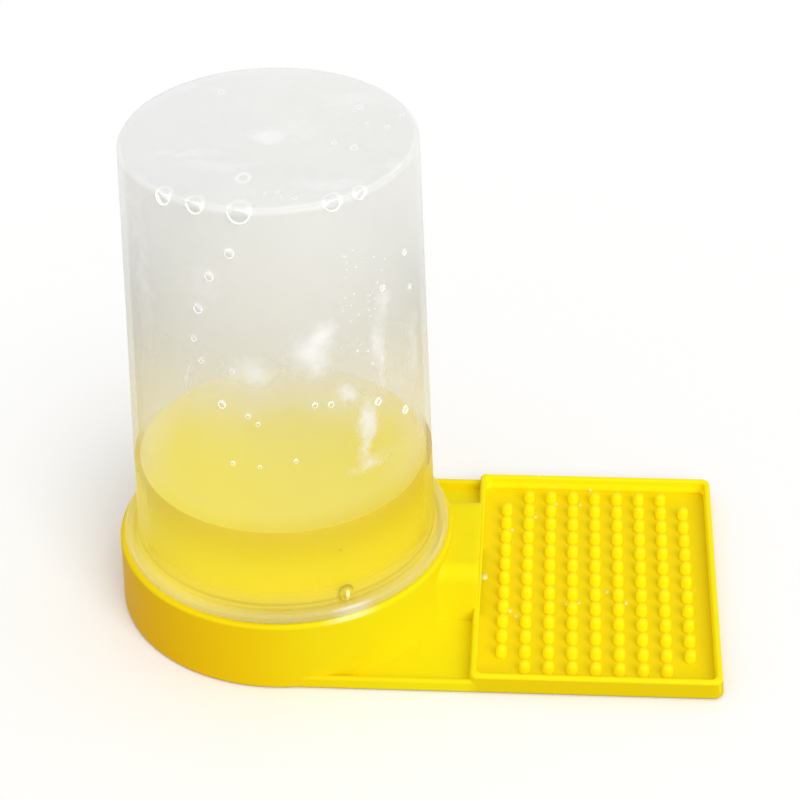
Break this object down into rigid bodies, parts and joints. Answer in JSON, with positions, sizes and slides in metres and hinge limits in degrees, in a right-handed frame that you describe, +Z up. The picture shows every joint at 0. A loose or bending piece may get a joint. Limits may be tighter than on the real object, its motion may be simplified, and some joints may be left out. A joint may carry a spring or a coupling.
{
  "type": "bee feeder",
  "caption": "Hive-entrance bee feeder: a milky cup stands mouth down in a yellow base, whose duct feeds a shallow tray of pegs for bees to stand on while they drink.",
  "frame": {"origin": "on the cup's axis, on the flat underside of the base", "axes": "+X from the cup out to the tray's far end, +Z up along the cup's axis, +Y across the tray to the rear"},
  "size_m": [0.1717, 0.096, 0.147],
  "materials": {
    "yellow_plastic": "smooth gloss moulding",
    "milky_plastic": "frosted, light passes through"
  },
  "bodies": {
    "base": {"base": "yellow_plastic"},
    "cup": {"reservoir_cup": "milky_plastic"}
  },
  "joints": [
    {"name": "cup_lift", "type": "slide", "parent": "base", "child": "cup", "axis": [0, 0, 1], "range_m": [0, 0.06]}
  ]
}
